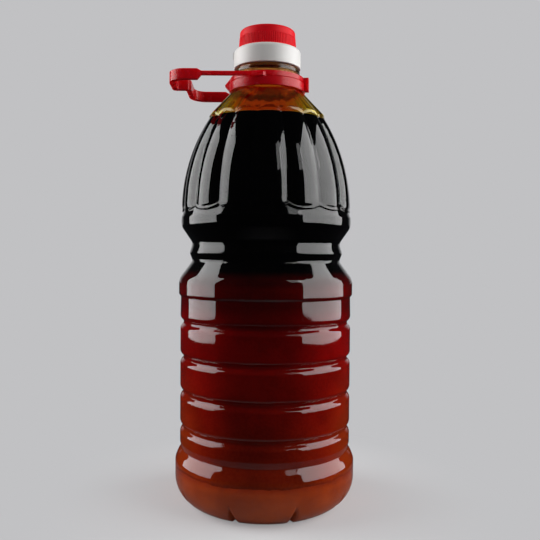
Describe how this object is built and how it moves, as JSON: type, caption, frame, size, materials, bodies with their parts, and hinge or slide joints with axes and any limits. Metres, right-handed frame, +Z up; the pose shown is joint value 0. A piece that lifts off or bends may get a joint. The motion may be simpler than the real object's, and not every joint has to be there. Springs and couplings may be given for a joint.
{
  "type": "palm oil bottle",
  "caption": "Clear lobed and grooved bottle full of dark red palm oil, with a white collar, red screw cap and red carry handle.",
  "frame": {"origin": "middle of the plane that the bottle's feet stand on, on the bottle's axis; the whole's box is centred on it to within 2 mm, because the handle's loop reaches a little past the bottle", "axes": "+Z up along the bottle's axis, -Y the front, -X the side that the handle's loop points to"},
  "size_m": [0.1171, 0.1142, 0.2977],
  "materials": {
    "clear_plastic": "clear gloss plastic",
    "oil": "dark red liquid",
    "settled_fat": "opaque settled fat",
    "white_plastic": "satin moulded plastic",
    "red_plastic": "gloss moulded plastic"
  },
  "bodies": {
    "root": {"bottle": "clear_plastic", "oil": "oil", "settled_fat": "settled_fat", "collar": "white_plastic", "screw_cap": "red_plastic", "carry_handle": "red_plastic"}
  },
  "joints": []
}
